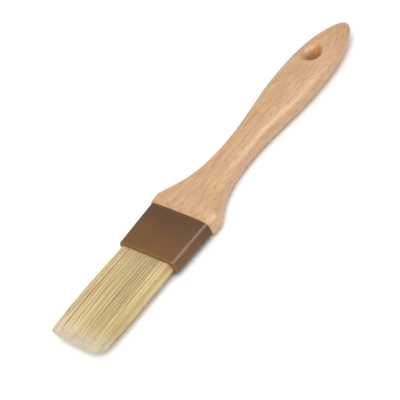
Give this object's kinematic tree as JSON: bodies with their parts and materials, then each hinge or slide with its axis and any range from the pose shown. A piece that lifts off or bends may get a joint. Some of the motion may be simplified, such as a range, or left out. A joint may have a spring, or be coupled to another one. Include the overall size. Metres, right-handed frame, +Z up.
{
  "type": "pastry brush",
  "caption": "Flat pastry brush: shaped wooden handle with a hanging hole, tapered plastic ferrule, and a springy flat tuft of pale natural hair with a chisel edge.",
  "frame": {"origin": "bottom centre of the brush lying flat, on the surface it lies on", "axes": "+X along the brush towards the end of the handle, +Y across its width, +Z up out of the flat face"},
  "size_m": [0.2398, 0.0432, 0.014],
  "materials": {
    "handle_wood": "satin lacquer",
    "ferrule_plastic": "satin moulded",
    "resin": "cast",
    "strip_wood": "raw",
    "hair": "natural hair"
  },
  "bodies": {
    "brush_body": {"handle": "handle_wood", "ferrule": "ferrule_plastic", "setting_resin": "resin", "filler_strip": "strip_wood", "hair_roots_upper": "hair", "hair_roots_lower": "hair"},
    "hair_tuft": {"bristles_upper": "hair", "bristles_lower": "hair"}
  },
  "joints": [
    {"name": "bristle_flex", "type": "hinge", "parent": "brush_body", "child": "hair_tuft", "pos_m": [-0.06785, 0, 0.007], "axis": [0, 1, 0], "range_deg": [-40, 40], "stiffness_Nm_per_rad": 0.18}
  ]
}
